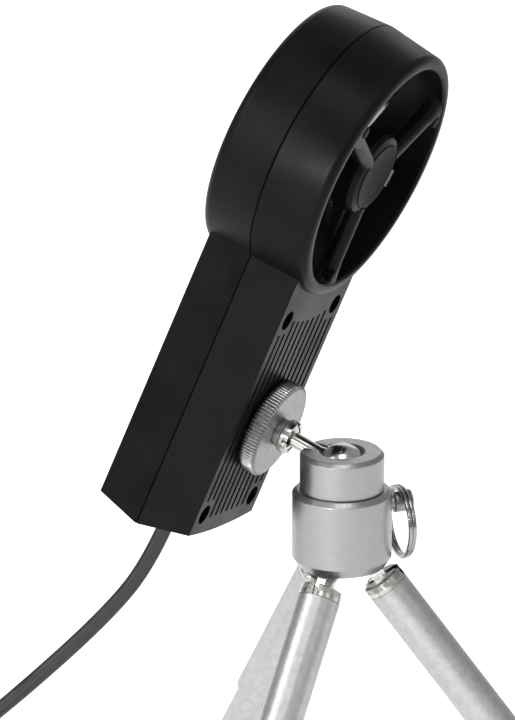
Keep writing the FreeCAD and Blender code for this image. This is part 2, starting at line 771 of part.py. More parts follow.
def hollow_tube(name, frame, outer, inner, start, end, band=None, lip=None):
    """A tube along a leg, with a retaining band outside its top or a lip inside its end."""
    corners = [(inner, -start)]
    if band is not None:
        corners += [(band, -start), (band, -start - 3)]
        corners += [(outer, -start - 3), (outer, -end)]
    else:
        corners += [(outer, -start), (outer, -end)]
    if lip is not None:
        corners += [(lip, -end), (lip, -end + 1), (inner, -end + 1)]
    else:
        corners += [(inner, -end)]
    turned_part(name, corners, frame, upright=True)


def leg(number, azimuth):
    frame = leg_frame(azimuth)
    thick, half, end = D["tongue_thick"], D["tongue_half"], D["tongue_end"]
    flat = box((2 * half, thick, end), (-half, thick * -0.5, -end))
    sideways = turned(0, 0, -90, at=(0, -thick.number / 2, 0))
    eye = rod(half, thick, sideways)
    hole = rod(D["pin_radius"] + D["running_gap"], thick, sideways)
    finish(cut(join(flat, eye), hole), f"leg_tongue_{number}", frame)
    finish(rod(D["pin_radius"], D["pin_length"], turned(0)), f"leg_pin_{number}", pin_frame(azimuth))

    radius, wall, bevel = D["leg_radius"], D["leg_wall"], D["plug_chamfer"]
    start, step, spigot = D["plug_start"], D["plug_end"], D["spigot_end"]
    body = new_body(f"plug_blank_{number}")
    corners = [
        (0, -start), (radius - bevel, -start), (radius, -start - bevel), (radius, -step),
        (radius - wall, -step), (radius - wall, -spigot), (0, -spigot),
    ]
    revolve(body, corners, "XZ_Plane", "V_Axis")
    slot = box((2 * radius + 1, thick, end), (-radius - 0.5, thick * -0.5, -end))
    finish(cut(body, slot), f"leg_plug_{number}", frame)

    middle, tip = D["mid_radius"], D["tip_radius"]
    hollow_tube(f"leg_tube_{number}", frame, radius, radius - wall, step, D["tube_end"], lip=middle + 0.1)
    hollow_tube(
        f"leg_middle_{number}", frame, middle, middle - 0.4, D["mid_start"], D["mid_end"],
        band=radius - wall - 0.1, lip=tip + 0.1,
    )
    hollow_tube(f"leg_tip_{number}", frame, tip, tip - 0.5, D["tip_start"], D["tip_end"], band=middle - 0.5)
    foot(number, frame)


def foot(number, frame):
    """A rubber foot over the tip, round below and flat where it meets the floor."""
    start, tip_end, centre, radius = D["foot_start"], D["tip_end"], D["foot_centre"], D["foot_radius"]
    sleeve = rod(radius, centre - start, turned(0, at=(0, 0, -centre.number)))
    ball = bind(doc.addObject("Part::Sphere", "toe"), Radius=radius)
    ball.Placement = turned(0, at=(0, 0, -centre.number))
    bore = rod(D["tip_radius"], tip_end - start + 1, turned(0, at=(0, 0, -tip_end.number)))
    below = box((400.0, 400.0, 20.0), (-200.0, -200.0, -20.0), frame.inverse())
    finish(cut(join(sleeve, ball), join(bore, below)), f"leg_foot_{number}", frame)


for count, direction in enumerate(AZIMUTHS, 1):
    leg(count, direction)

# ---------- cable ----------

TAIL = HEAD.multVec(V(0, 0, -mm("handle_tail") + 0.2))
DOWN_TAIL = HEAD_TURN.multVec(V(0, 0, -1))

# The lead hangs from the tail, comes down on the floor and runs on into the coil.
LEAD = [
    TAIL, TAIL + DOWN_TAIL * 14, V(-68.5, 16.0, 80.0), V(-88.5, 18.0, 60.0), V(-106.5, 22.0, 43.0),
    V(-121.5, 25.0, 26.5), V(-136.5, 25.5, 13.0), V(-149.0, 18.0, 5.0), V(-156.4, 4.5, 2.1),
    V(-159.3, -9.5, 2.1), V(-159.3, -23.0, 2.1),
]

# The tail of the cable leaves the top of the coil and bends round on the floor to the jack plug.
END = [
    V(-159.3, -36.0, 4.4), V(-158.7, -50.0, 3.4), V(-154.2, -64.0, 2.4), V(-144.2, -74.0, 3.2),
    V(-131.2, -79.0, 4.5), V(-119.2, -81.5, 4.5),
]


def route_wire(name, points):
    """Straight runs joined by tangent arcs, each as large as its two runs allow."""
    edges = []
    start = points[0]
    for before, corner, after in zip(points, points[1:], points[2:]):
        back, on = before - corner, after - corner
        turn = math.pi - back.getAngle(on)
        trim = 0.45 * min(back.Length, on.Length)
        radius = trim / math.tan(turn / 2)
        first, last = corner + back.normalize() * trim, corner + on.normalize() * trim
        bisector = (back + on).normalize()
        middle = corner + bisector * (radius / math.cos(turn / 2) - radius)
        edges += [Part.LineSegment(start, first).toShape(), Part.Arc(first, middle, last).toShape()]
        start = last
        print(f"{name}: turn {math.degrees(turn):.0f} degrees, radius {radius:.0f} mm")
    edges.append(Part.LineSegment(start, points[-1]).toShape())
    return Part.Wire(edges)


def cord_tube(name, points):
    wire = route_wire(name, points)
    radius = mm("cable_radius")
    section = Part.Wire(Part.makeCircle(radius, points[0], points[1] - points[0]))
    shape = wire.makePipeShell([section], True, False)
    expected = math.pi * radius ** 2 * wire.Length
    share = shape.Volume / expected
    print(f"{name}: {wire.Length:.0f} mm long, volume {share:.3f} of section times length")
    solid_part(name, shape, turned(0))


def cable_coil():
    """The outer shape of the coiled cable, and the strap that ties it."""
    middle, pitch = D["coil_turn_radius"], D["cord_pitch"]
    half, high = D["coil_rows"] * pitch * 0.5, D["coil_layers"] * D["layer_height"]
    inner, outer = middle - half, middle + half
    centre = turned(0, at=(mm("coil_x"), mm("coil_y"), 0))
    turned_part("cable_coil", [(inner, 0), (outer, 0), (outer, high), (inner, high)], centre, upright=True)
    wall, width = D["tie_wall"], D["tie_width"]
    band = box((2 * (half + wall), width, high + wall), (inner - wall, width * -0.5, 0.0))
    gap = box((2 * half, width, high - wall), (inner, width * -0.5, wall))
    finish(cut(band, gap), "coil_tie", centre * turned(-60))


def jack_plug():
    run = END[-1] - END[-2]
    heading = math.degrees(math.atan2(run.y, run.x))
    frame = turned(heading, at=END[-1])
    relief, grip, pin = D["jack_relief_length"], D["jack_grip_length"], D["jack_shaft_length"]
    cable, thick, shaft = D["cable_radius"], D["jack_grip_radius"], D["jack_shaft_radius"]
    turned_part("jack_relief", [(0, 0), (0, cable + 0.4), (relief, cable + 1.4), (relief, 0)], frame)
    body_end = relief + grip
    corners = [
        (relief, 0), (relief, thick - 1), (relief + 2, thick), (body_end - 1, thick), (body_end, thick - 1),
        (body_end, 0),
    ]
    turned_part("jack_grip", corners, frame)
    tip = body_end + pin
    corners = [
        (body_end, 0), (body_end, shaft), (tip - 3.6, shaft), (tip - 3.0, shaft - 0.5),
        (tip - 1.6, shaft), (tip, 0.5), (tip, 0),
    ]
    turned_part("jack_contact", corners, frame)


cord_tube("cable_lead", LEAD)
cord_tube("cable_tail", END)
cable_coil()
jack_plug()

# ---------- check and write ----------


def write_parts():
    doc.recompute()
    for thing in doc.Objects:
        if "Invalid" in thing.State or "Error" in thing.State:
            raise RuntimeError(f"{thing.Label} did not build: {thing.State}")
    os.makedirs("parts", exist_ok=True)
    for thing in FINISHED:
        shape = thing.Shape
        if shape.isNull() or not shape.isValid():
            raise RuntimeError(f"{thing.Label} has no valid shape")
        shape.exportStep(f"parts/{thing.Label}.step")
        print(f"{thing.Label}: {len(shape.Solids)} solid, {shape.Volume / 1000:.2f} cm3")


write_parts()
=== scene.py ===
import math

import bmesh
import bpy
from mathutils import Matrix, Vector
from mathutils.bvhtree import BVHTree
from mathutils.geometry import barycentric_transform


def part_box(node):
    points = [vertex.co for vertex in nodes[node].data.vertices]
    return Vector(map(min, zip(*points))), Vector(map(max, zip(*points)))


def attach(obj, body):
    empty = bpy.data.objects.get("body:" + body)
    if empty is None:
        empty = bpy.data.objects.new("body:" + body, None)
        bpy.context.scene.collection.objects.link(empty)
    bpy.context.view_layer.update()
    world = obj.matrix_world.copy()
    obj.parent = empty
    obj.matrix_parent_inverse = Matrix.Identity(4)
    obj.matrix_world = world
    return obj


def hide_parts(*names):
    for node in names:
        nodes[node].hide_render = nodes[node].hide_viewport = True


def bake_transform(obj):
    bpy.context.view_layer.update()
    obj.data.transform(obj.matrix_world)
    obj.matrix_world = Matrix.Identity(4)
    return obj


# The looks of a vane anemometer: a wired sensor head on a pocket tripod.
# Shapes are given in millimetres in a frame of their own, and placed in the row frame in metres.

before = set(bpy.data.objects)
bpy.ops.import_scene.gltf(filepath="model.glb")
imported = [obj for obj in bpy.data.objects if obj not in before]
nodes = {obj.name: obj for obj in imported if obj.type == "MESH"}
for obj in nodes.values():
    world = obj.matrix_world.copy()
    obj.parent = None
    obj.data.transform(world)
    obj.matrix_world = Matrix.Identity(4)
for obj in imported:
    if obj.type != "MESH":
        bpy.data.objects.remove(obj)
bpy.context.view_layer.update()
MM = 0.001
TURN = 2 * math.pi


# ---------- where things are ----------

def turned(yaw=0.0, pitch=0.0, roll=0.0, at=(0, 0, 0)):
    """A placement in millimetres: yaw about Z, then pitch about Y, then roll about X."""
    yaw, pitch, roll = (math.radians(angle) for angle in (yaw, pitch, roll))
    turn = Matrix.Rotation(yaw, 4, "Z") @ Matrix.Rotation(pitch, 4, "Y") @ Matrix.Rotation(roll, 4, "X")
    return Matrix.Translation(at) @ turn


def middle_of(node):
    low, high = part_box(node)
    return (low + high) / (2 * MM)


# The head's frame: X forwards along the duct, Y across, Z from the tail to the ring.
HEAD = turned(-27.5, 19.8, -9.9, middle_of("impeller_shaft"))
STUD = HEAD @ turned(at=(0, 0, -67.4))
COLLAR = middle_of("tripod_collar")
COLLAR.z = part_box("tripod_collar")[0].z / MM
PIVOT_RADIUS, PIVOT_RISE, SPLAY = 6.08, 1.0, 36.0


def leg_frame(azimuth):
    """X outwards, Y along the pivot pin, Z up the leg, from the pivot."""
    pivot = turned(azimuth, at=COLLAR) @ turned(at=(PIVOT_RADIUS, 0, PIVOT_RISE))
    return pivot @ turned(0, -SPLAY)


UPRIGHT = turned(0, -90)
# How far each half of the housing is cut back at the joint line, and the least fold in radians that is rounded.
GROOVE = 0.4
SHARP_FOLD = 0.9


# ---------- mesh making ----------

def rounded(points, radius, steps=4):
    """The line through points, with its inner corners rounded."""
    line = [Vector(points[0])]
    for before, corner, after in zip(points, points[1:], points[2:]):
        before, corner, after = Vector(before), Vector(corner), Vector(after)
        back, on = before - corner, after - corner
        trim = min(radius, 0.45 * back.length, 0.45 * on.length)
        first, last = corner + back.normalized() * trim, corner + on.normalized() * trim
        for step in range(steps + 1):
            part = step / steps
            line.append(first * (1 - part) ** 2 + corner * 2 * part * (1 - part) + last * part ** 2)
    line.append(Vector(points[-1]))
    return line


def finish_mesh(name, shape, placement, sharp=38.0):
    mesh = bpy.data.meshes.new(name)
    bmesh.ops.recalc_face_normals(shape, faces=shape.faces)
    shape.to_mesh(mesh)
    shape.free()
    mesh.transform(Matrix.Scale(MM, 4) @ placement)
    mesh.shade_smooth()
    mesh.set_sharp_from_angle(angle=math.radians(sharp))
    piece = bpy.data.objects.new(name, mesh)
    bpy.context.scene.collection.objects.link(piece)
    return piece


def skin(shape, rings, closed=True):
    """Faces between neighbouring rings of vertices."""
    for one, two in zip(rings, rings[1:]):
        count = len(one)
        for index in range(count if closed else count - 1):
            after = (index + 1) % count
            shape.faces.new((one[index], one[after], two[after], two[index]))


def add_lathe(shape, profile, steps=96, wave=None):
    """A body turned about X. wave(angle, along, radius) may change a point's radius."""
    rings = []
    ends = []
    for along, radius in profile:
        if radius < 1e-6:
            ends.append((len(rings), shape.verts.new((along, 0, 0))))
            continue
        ring = []
        for step in range(steps):
            angle = TURN * step / steps
            reach = wave(angle, along, radius) if wave else radius
            ring.append(shape.verts.new((along, -reach * math.sin(angle), reach * math.cos(angle))))
        rings.append(ring)
    skin(shape, rings)
    for place, pole in ends:
        ring = rings[0] if place == 0 else rings[-1]
        for index in range(steps):
            shape.faces.new((pole, ring[index], ring[(index + 1) % steps]))
    if not ends:
        skin(shape, [rings[-1], rings[0]])


def lathe(name, profile, placement, steps=96, wave=None, soft=0.0):
    """A turned piece. Its corners are rounded by soft where that is given."""
    shape = bmesh.new()
    add_lathe(shape, rounded(profile, soft) if soft else profile, steps, wave)
    return finish_mesh(name, shape, placement)


def dress(piece, look, body, slot, *replaced):
    """Gives a piece its material and the body that it rides on, and hides the CAD nodes it stands for."""
    piece.data.materials.clear()
    piece.data.materials.append(look)
    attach(piece, body)
    if replaced:
        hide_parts(*replaced)
    return piece


# ---------- materials ----------

class Look:
    """A material that is built node by node."""

    def __init__(self, name, colour, roughness, metallic=0.0):
        self.material = bpy.data.materials.new(name)
        self.material.use_nodes = True
        self.tree = self.material.node_tree
        self.shader = self.tree.nodes["Principled BSDF"]
        self.shader.inputs["Base Color"].default_value = (*colour, 1)
        self.shader.inputs["Roughness"].default_value = roughness
        self.shader.inputs["Metallic"].default_value = metallic
        self.normal = None
        self.place = self.add("ShaderNodeTexCoord").outputs["Object"]

    def add(self, kind, **settings):
        node = self.tree.nodes.new(kind)
        for key, value in settings.items():
            setattr(node, key, value)
        return node

    def link(self, source, target):
        self.tree.links.new(source, target)

    def set(self, **values):
        for name, value in values.items():
            self.shader.inputs[name.replace("_", " ")].default_value = value
        return self

    def stretched(self, scale):
        """The object's coordinates, pressed together along an axis to draw the noise out across it."""
        mapping = self.add("ShaderNodeMapping")
        mapping.inputs["Scale"].default_value = scale
        self.link(self.place, mapping.inputs["Vector"])
        return mapping.outputs["Vector"]

    def noise(self, size, detail=3.0, vector=None, rough=0.5):
        """Noise whose grains are about size metres across."""
        noise = self.add("ShaderNodeTexNoise")
        noise.inputs["Scale"].default_value = 1 / size
        noise.inputs["Detail"].default_value = detail
        noise.inputs["Roughness"].default_value = rough
        self.link(vector or self.place, noise.inputs["Vector"])
        return noise.outputs["Fac"]

    def ramp(self, value, low, high, start=0.3, end=0.7):
        ramp = self.add("ShaderNodeMapRange")
        ramp.interpolation_type = "SMOOTHSTEP"
        for name, number in (("From Min", start), ("From Max", end), ("To Min", low), ("To Max", high)):
            ramp.inputs[name].default_value = number
        self.link(value, ramp.inputs["Value"])
        return ramp.outputs["Result"]

    def blend_colours(self, factor, one, two):
        mix = self.add("ShaderNodeMix", data_type="RGBA")
        mix.inputs["A"].default_value = (*one, 1)
        mix.inputs["B"].default_value = (*two, 1)
        self.link(factor, mix.inputs["Factor"])
        self.link(mix.outputs["Result"], self.shader.inputs["Base Color"])
        return self

    def rough(self, value):
        self.link(value, self.shader.inputs["Roughness"])
        return self

    def edges(self, radius):
        """Rounds the sharp edges in the shading."""
        bevel = self.add("ShaderNodeBevel", samples=6)
        bevel.inputs["Radius"].default_value = radius
        self.normal = bevel.outputs["Normal"]
        return self

    def bump(self, value, depth):
        bump = self.add("ShaderNodeBump")
        bump.inputs["Distance"].default_value = depth
        bump.inputs["Strength"].default_value = 1.0
        self.link(value, bump.inputs["Height"])
        if self.normal:
            self.link(self.normal, bump.inputs["Normal"])
        self.normal = bump.outputs["Normal"]
        return self

    def done(self):
        if self.normal:
            self.link(self.normal, self.shader.inputs["Normal"])
        return self.material


def moulded(name, colour, roughness, grain=0.0005, depth=0.00004, spread=0.06):
    """Moulded plastic with a spark-eroded texture and faint handling marks."""
    look = Look(name, colour, roughness).set(Specular_IOR_Level=0.09).edges(0.00035)
    fine = look.noise(grain, 4.0, rough=0.6)
    smears = look.noise(0.018, 3.0)
    lighter = tuple(channel * 1.5 + 0.0012 for channel in colour)
    look.blend_colours(look.ramp(smears, 0.0, 0.7, 0.35, 0.75), colour, lighter)
    look.rough(look.ramp(smears, roughness - spread, roughness + spread))
    return look.bump(fine, depth)


def shell_look(name, colour):
    """The housing's plastic, with painted shade: the groove along the joint line where the two halves meet is
    painted near-black.
    """
    look = moulded(name, colour, 0.37)
    inverse = HEAD.inverted()
    mapping = look.add("ShaderNodeMapping")
    mapping.inputs["Rotation"].default_value = inverse.to_euler("XYZ")
    mapping.inputs["Location"].default_value = inverse.to_translation() * MM
    look.link(look.place, mapping.inputs["Vector"])
    axes = look.add("ShaderNodeSeparateXYZ")
    look.link(mapping.outputs["Vector"], axes.inputs["Vector"])
    distance = look.add("ShaderNodeMath", operation="ABSOLUTE")
    look.link(axes.outputs["X"], distance.inputs[0])
    # Painted shade: a band at the joint line, inside the groove, is mixed to near-black for the shade that falls
    # in the gap between the halves.
    groove = look.ramp(distance.outputs["Value"], 0.0, 1.0, 0.8 * GROOVE * MM, 1.1 * GROOVE * MM)
    base = look.shader.inputs["Base Color"].links[0].from_socket
    mix = look.add("ShaderNodeMix", data_type="RGBA")
    # The colour of the painted shade in the groove.
    mix.inputs["A"].default_value = (0.0004, 0.0004, 0.0004, 1)
    look.link(groove, mix.inputs["Factor"])
    look.link(base, mix.inputs["B"])
    look.link(mix.outputs["Result"], look.shader.inputs["Base Color"])
    return look.done()


def satin(name, colour, roughness, stretch=(1, 1, 14), edge=0.0003):
    """Satin anodised aluminium, with faint lines around its upright axis, or an even grain."""
    look = Look(name, colour, roughness, 1.0).edges(edge)
    lines = look.noise(0.0016, 5.0, look.stretched(stretch), 0.7)
    grain = look.noise(0.0007, 3.0, rough=0.7)
    darker = tuple(channel * 0.84 for channel in colour)
    look.blend_colours(look.ramp(lines, 0.0, 1.0, 0.3, 0.7), darker, colour)
    look.rough(look.ramp(grain, roughness - 0.08, roughness + 0.08, 0.3, 0.7))
    look.bump(lines, 0.000006)
    return look.bump(grain, 0.000022).done()


def plated(name, colour, roughness):
    """Bright nickel or chrome plate over turned metal, slightly uneven."""
    look = Look(name, colour, roughness, 1.0).edges(0.00018)
    wear = look.noise(0.0035, 4.0)
    darker = tuple(channel * 0.82 for channel in colour)
    look.blend_colours(look.ramp(wear, 0.0, 1.0, 0.35, 0.8), colour, darker)
    look.rough(look.ramp(wear, roughness, roughness + 0.12, 0.4, 0.8))
    return look.bump(look.noise(0.0012, 2.0), 0.000008).done()


def elastomer(name, colour, roughness, grain=0.0003, depth=0.00003):
    """Rubber or soft vinyl with a little dust on it."""
    look = Look(name, colour, roughness).edges(0.0003)
    dust = look.noise(0.006, 5.0)
    dusty = tuple(channel * 1.8 + 0.006 for channel in colour)
    look.blend_colours(look.ramp(dust, 0.0, 1.0, 0.45, 0.85), colour, dusty)
    look.rough(look.ramp(dust, roughness - 0.06, roughness + 0.1))
    return look.bump(look.noise(grain, 3.0), depth).done()


EVEN = (1, 1, 1)
HOUSING = shell_look("housing_black", (0.002, 0.002, 0.0022))
HUB = moulded("hub_black", (0.002, 0.002, 0.0022), 0.5).set(Specular_IOR_Level=0.05).done()
GREY = moulded("pickup_grey", (0.3, 0.3, 0.31), 0.45).done()
SATIN = satin("collar_aluminium", (0.33, 0.33, 0.332), 0.36)
TUBE = satin("tube_aluminium", (0.47, 0.47, 0.473), 0.42, EVEN)
WHEEL = satin("wheel_aluminium", (0.27, 0.27, 0.275), 0.36, EVEN, 0.0001)
POLISHED = plated("polished_aluminium", (0.86, 0.86, 0.86), 0.12)
CHROME = plated("bright_plate", (0.52, 0.51, 0.49), 0.17)
RING_STEEL = plated("ring_steel", (0.3, 0.295, 0.28), 0.14)
STEEL = plated("ground_steel", (0.5, 0.5, 0.5), 0.25)
BRASS = plated("turned_brass", (0.72, 0.52, 0.22), 0.25)
RUBBER = elastomer("foot_rubber", (0.014, 0.014, 0.014), 0.62)
JACKET = elastomer("cable_jacket", (0.0085, 0.0085, 0.0088), 0.33, 0.0006, 0.000015)
GRIP = moulded("plug_black", (0.012, 0.012, 0.012), 0.4, 0.0003, 0.00001).done()
NYLON = moulded("natural_nylon", (0.72, 0.7, 0.62), 0.45).done()
BOARD = moulded("board_mask", (0.01, 0.09, 0.03), 0.3, 0.0004).done()
CHIP = moulded("chip_epoxy", (0.02, 0.02, 0.022), 0.5).done()
FERRITE = moulded("magnet_ferrite", (0.05, 0.05, 0.055), 0.55).done()


# ---------- camera ----------

camera = bpy.data.objects.new("camera", bpy.data.cameras.new("camera"))
bpy.context.scene.collection.objects.link(camera)
camera.location = (-0.0318, -1.7685, 0.7743)
camera.rotation_euler = (math.radians(70.591), 0, 0)
camera.data.lens = 396.3
camera.data.sensor_width = 36
camera.data.clip_end = 20
bpy.context.scene.camera = camera


# ---------- cable ----------

LEAD = [
    (-52.5, 15.2, 107.05), (-57.76, 15.22, 94.07), (-68.5, 16.0, 80.0), (-88.5, 18.0, 60.0),
    (-106.5, 22.0, 43.0), (-121.5, 25.0, 26.5), (-136.5, 25.5, 12.4), (-149.0, 18.0, 4.2),
    (-156.4, 4.5, 1.25), (-159.3, -9.5, 1.25), (-159.3, -23.0, 1.25),
]
END = [
    (-159.3, -36.0, 3.55), (-158.7, -50.0, 2.6), (-154.2, -64.0, 1.4), (-144.2, -74.0, 2.6),
    (-131.2, -79.0, 4.5), (-119.2, -81.5, 4.5),
]
COIL_MIDDLE = Vector((-133.2, -30.0, 0))
COIL_TURNS = [(26.1, 1.55), (22.0, 1.55), (17.9, 1.55), (17.9, 3.8), (22.0, 3.8), (26.1, 3.8)]
PER_TURN = 18
CABLE_WIDTH = 4.0
STRAND = 1.1
# The cable leaves the head turned by TWIST degrees, and lies flat after TWIST_START + TWIST_LENGTH.
TWIST, TWIST_START, TWIST_LENGTH = 72, 45, 110


def coil_points():
    """Six turns in two layers; each turn steps over to the next one in its last quarter."""
    points = []
    after_each = COIL_TURNS[1:] + COIL_TURNS[-1:]
    for (radius, level), (next_radius, next_level) in zip(COIL_TURNS, after_each):
        for step in range(PER_TURN):
            part = max(0.0, (step / PER_TURN - 0.72) / 0.28)
            reach = radius + (next_radius - radius) * part
            angle = math.pi + TURN * step / PER_TURN
            around = Vector((math.cos(angle), math.sin(angle), 0)) * reach
            points.append(tuple(COIL_MIDDLE + around + Vector((0, 0, level + (next_level - level) * part))))
    return points


def smooth_line(name, points):
    """The points of a NURBS spline through the route, read from a curve without a bevel."""
    curve = bpy.data.curves.new(name, "CURVE")
    curve.dimensions = "3D"
    spline = curve.splines.new("NURBS")
    spline.points.add(len(points) - 1)
    for point, place in zip(spline.points, points):
        point.co = (*place, 1)
    spline.order_u = 3
    spline.use_endpoint_u = True
    spline.resolution_u = 12
    holder = bpy.data.objects.new(name, curve)
    bpy.context.scene.collection.objects.link(holder)
    bpy.context.view_layer.update()
    mesh = bpy.data.meshes.new_from_object(holder.evaluated_get(bpy.context.evaluated_depsgraph_get()))
    line = [vertex.co.copy() for vertex in mesh.vertices]
    bpy.data.objects.remove(holder)
    bpy.data.curves.remove(curve)
    bpy.data.meshes.remove(mesh)
    return line


def spaced(line, gap):
    """The same line with its points at least gap apart."""
    kept = [line[0]]
    for point in line[1:-1]:
        if (point - kept[-1]).length >= gap:
            kept.append(point)
    return kept + [line[-1]]


def twin_section():
    """The outline of two strands side by side, joined by a web."""
    offset = CABLE_WIDTH / 2 - STRAND
    waist = math.acos(-offset / STRAND) * 0.93
    outline = []
    for side in (1, -1):
        for step in range(13):
            angle = -waist + 2 * waist * step / 12
            outline.append((side * (offset + STRAND * math.cos(angle)), side * STRAND * math.sin(angle)))
    return outline


def twin_cable(name, line):
    """A flat twin cable along line. It turns from edge-on at the head to flat on the floor."""
    shape = bmesh.new()
    section = twin_section()
    rings = []
    travelled = 0.0
    for index, point in enumerate(line):
        before, after = line[max(index - 1, 0)], line[min(index + 1, len(line) - 1)]
        along = (after - before).normalized()
        travelled += (point - line[max(index - 1, 0)]).length
        level = along.cross(Vector((0, 0, 1))).normalized()
        part = min(1.0, max(0.0, (travelled - TWIST_START) / TWIST_LENGTH))
        twist = math.radians(TWIST) * (1 - part * part * (3 - 2 * part))
        level = Matrix.Rotation(twist, 3, along) @ level
        upward = level.cross(along)
        rings.append([shape.verts.new(point + level * x + upward * y) for x, y in section])
    skin(shape, rings)
    for ring in (rings[0], rings[-1]):
        shape.faces.new(ring)
    return finish_mesh(name, shape, Matrix.Identity(4), 70)


route = spaced(smooth_line("cable_route", LEAD + coil_points() + END), 0.8)
cable = twin_cable("twin_cable", route)
cable.data.materials.append(JACKET)
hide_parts("cable_lead", "cable_coil", "cable_tail")
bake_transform(cable)

# The plug at the cable's end.
HEADING = math.degrees(math.atan2(END[-1][1] - END[-2][1], END[-1][0] - END[-2][0]))
PLUG = turned(HEADING, at=END[-1])


def ribbed(start, end, radius_start, radius_end, ribs, deep):
    """A tapered sleeve's profile with rounded ribs."""
    profile = [(start, 0), (start, radius_start - deep)]
    pitch = (end - start) / ribs
    for rib in range(ribs):
        for part, height in ((0.18, 0.0), (0.32, 0.8), (0.5, 1.0), (0.68, 1.0), (0.84, 0.8), (0.98, 0.0)):
            place = start + pitch * (rib + part)
            radius = radius_start + (radius_end - radius_start) * (place - start) / (end - start)
            profile.append((place, radius - deep * (1 - height)))
    return profile + [(end, 0)]


relief = lathe("plug_relief", ribbed(-0.6, 10.0, 2.5, 3.4, 6, 0.45), PLUG, 64)
dress(relief, RUBBER, "clamp", "black_rubber", "jack_relief")


def grip_flutes(angle, along, radius):
    hold = max(0.0, 1 - ((along - 20) / 7.5) ** 4)
    return radius - 0.18 * hold * (0.5 + 0.5 * math.cos(24 * angle))


grip_line = [(10, 0), (10, 3.5), (12, 4.5), (14, 4.5), (17, 4.45), (20, 4.42), (23, 4.45), (27, 4.5), (29, 4.5),
             (30, 3.5), (30, 0)]
grip = lathe("plug_grip", rounded(grip_line, 0.8), PLUG, 192, grip_flutes)
dress(grip, GRIP, "clamp", "chip_black", "jack_grip")
contact_line = [
    (30, 0), (30, 2.6), (30.5, 2.6), (30.5, 1.75), (34.6, 1.75), (34.6, 1.68), (35.3, 1.68), (35.3, 1.75),
    (37.6, 1.75), (37.6, 1.68), (38.3, 1.68), (38.3, 1.75), (40.4, 1.75), (41.0, 1.25), (42.4, 1.75),
    (44, 0.5), (44, 0),
]
contact = lathe("plug_contact", contact_line, PLUG, 64, soft=0.12)
dress(contact, CHROME, "clamp", "chrome", "jack_contact")
bands = bmesh.new()
for place in (34.6, 37.6):
    add_lathe(bands, [(place + 0.02, 1.6), (place + 0.02, 1.74), (place + 0.68, 1.74), (place + 0.68, 1.6)], 48)
bands = finish_mesh("plug_insulators", bands, PLUG)
dress(bands, CHIP, "clamp", "chip_black")


def strap(name, placement, inner, outer, low, high, wall, width):
    """A band with rounded corners around the coil's turns, its free end lapped over on top."""
    def ring_of(grow):
        box = [(inner - grow, low - grow), (outer + grow, low - grow), (outer + grow, high + grow),
               (inner - grow, high + grow)]
        centre = Vector(((inner + outer) / 2, low - grow))
        return rounded([centre] + [Vector(box[index]) for index in (1, 2, 3, 0)] + [centre], 1.1 + grow, 5)

    shape = bmesh.new()
    inside, outside = ring_of(0.0), ring_of(wall)
    edges = []
    for line in (inside, outside):
        for side in (-1, 1):
            edges.append([shape.verts.new((x, side * width / 2, z)) for x, z in line[:-1]])
    skin(shape, [edges[0], edges[1], edges[3], edges[2], edges[0]])
    lap = [(inner + 1.5, high + wall), (inner + 1.5, high + wall * 1.9), (outer + wall * 0.4, high + wall * 1.9),
           (outer + wall * 1.9, high - 1.2), (outer + wall, high - 1.2), (outer + wall * 0.2, high + wall)]
    sides = [[shape.verts.new((x, side * width / 2, z)) for x, z in lap] for side in (-1, 1)]
    skin(shape, sides)
    for side in sides:
        shape.faces.new(side)
    bmesh.ops.bevel(
        shape, geom=[edge for edge in shape.edges if edge.is_manifold and edge.calc_face_angle(0) > SHARP_FOLD],
        offset=0.12, segments=2, affect="EDGES",
    )
    return finish_mesh(name, shape, placement)


tie = strap("cable_strap", turned(-60, at=COIL_MIDDLE), 15.7, 28.3, 0.5, 4.95, 0.4, 7.0)
dress(tie, RUBBER, "clamp", "black_rubber", "coil_tie")


# ---------- sensor head ----------

def keep_normals(piece, node):
    """Gives a cut copy the normals of the surface that it was copied from, except on the cut."""
    source = node.data
    source.calc_loop_triangles()
    triangles = list(source.loop_triangles)
    points = [node.matrix_world @ vertex.co for vertex in source.vertices]
    turn = node.matrix_world.to_3x3()
    normals = [turn @ corner.vector for corner in source.corner_normals]
    tree = BVHTree.FromPolygons(points, [tuple(triangle.vertices) for triangle in triangles])
    mesh = piece.data
    kept = []
    for face in mesh.polygons:
        for index in face.loop_indices:
            at = mesh.vertices[mesh.loops[index].vertex_index].co.lerp(face.center, 0.03)
            place, _, which, _ = tree.find_nearest(at)
            triangle = triangles[which]
            corners_at = [points[vertex] for vertex in triangle.vertices]
            normal = barycentric_transform(place, *corners_at, *(normals[loop] for loop in triangle.loops))
            kept.append(normal.normalized() if normal.dot(face.normal) > 0.8 else face.normal)
    mesh.normals_split_custom_set(kept)


def eased_half(name, side):
    """One half of the housing, with its outer edge at the joint line cut back to a narrow groove."""
    node = nodes[f"{name}_shell"]
    shape = bmesh.new()
    shape.from_mesh(node.data)
    shape.transform(HEAD.inverted() @ Matrix.Scale(1 / MM, 4) @ node.matrix_world)
    bmesh.ops.remove_doubles(shape, verts=shape.verts, dist=0.0005)
    tree = BVHTree.FromBMesh(shape)
    outline = []
    for edge in shape.edges:
        if not edge.is_manifold or any(abs(vertex.co.x) > 0.01 for vertex in edge.verts):
            continue
        wall, flat = sorted(edge.link_faces, key=lambda face: abs(face.normal.x))
        if abs(flat.normal.x) < 0.99 or abs(wall.normal.x) > 0.5:
            continue
        middle = (edge.verts[0].co + edge.verts[1].co) / 2 + Vector((0.5 * side, 0, 0))
        if tree.ray_cast(middle + wall.normal * 0.1, wall.normal)[0] is None:
            outline.append(edge)
    bmesh.ops.bevel(shape, geom=outline, offset=GROOVE, segments=1, affect="EDGES", clamp_overlap=True)
    half = finish_mesh(f"housing_{name}_half", shape, HEAD, 30)
    keep_normals(half, node)
    dress(half, HOUSING, "sensor_head", "black_abs", f"{name}_shell")


eased_half("front", 1)
eased_half("rear", -1)


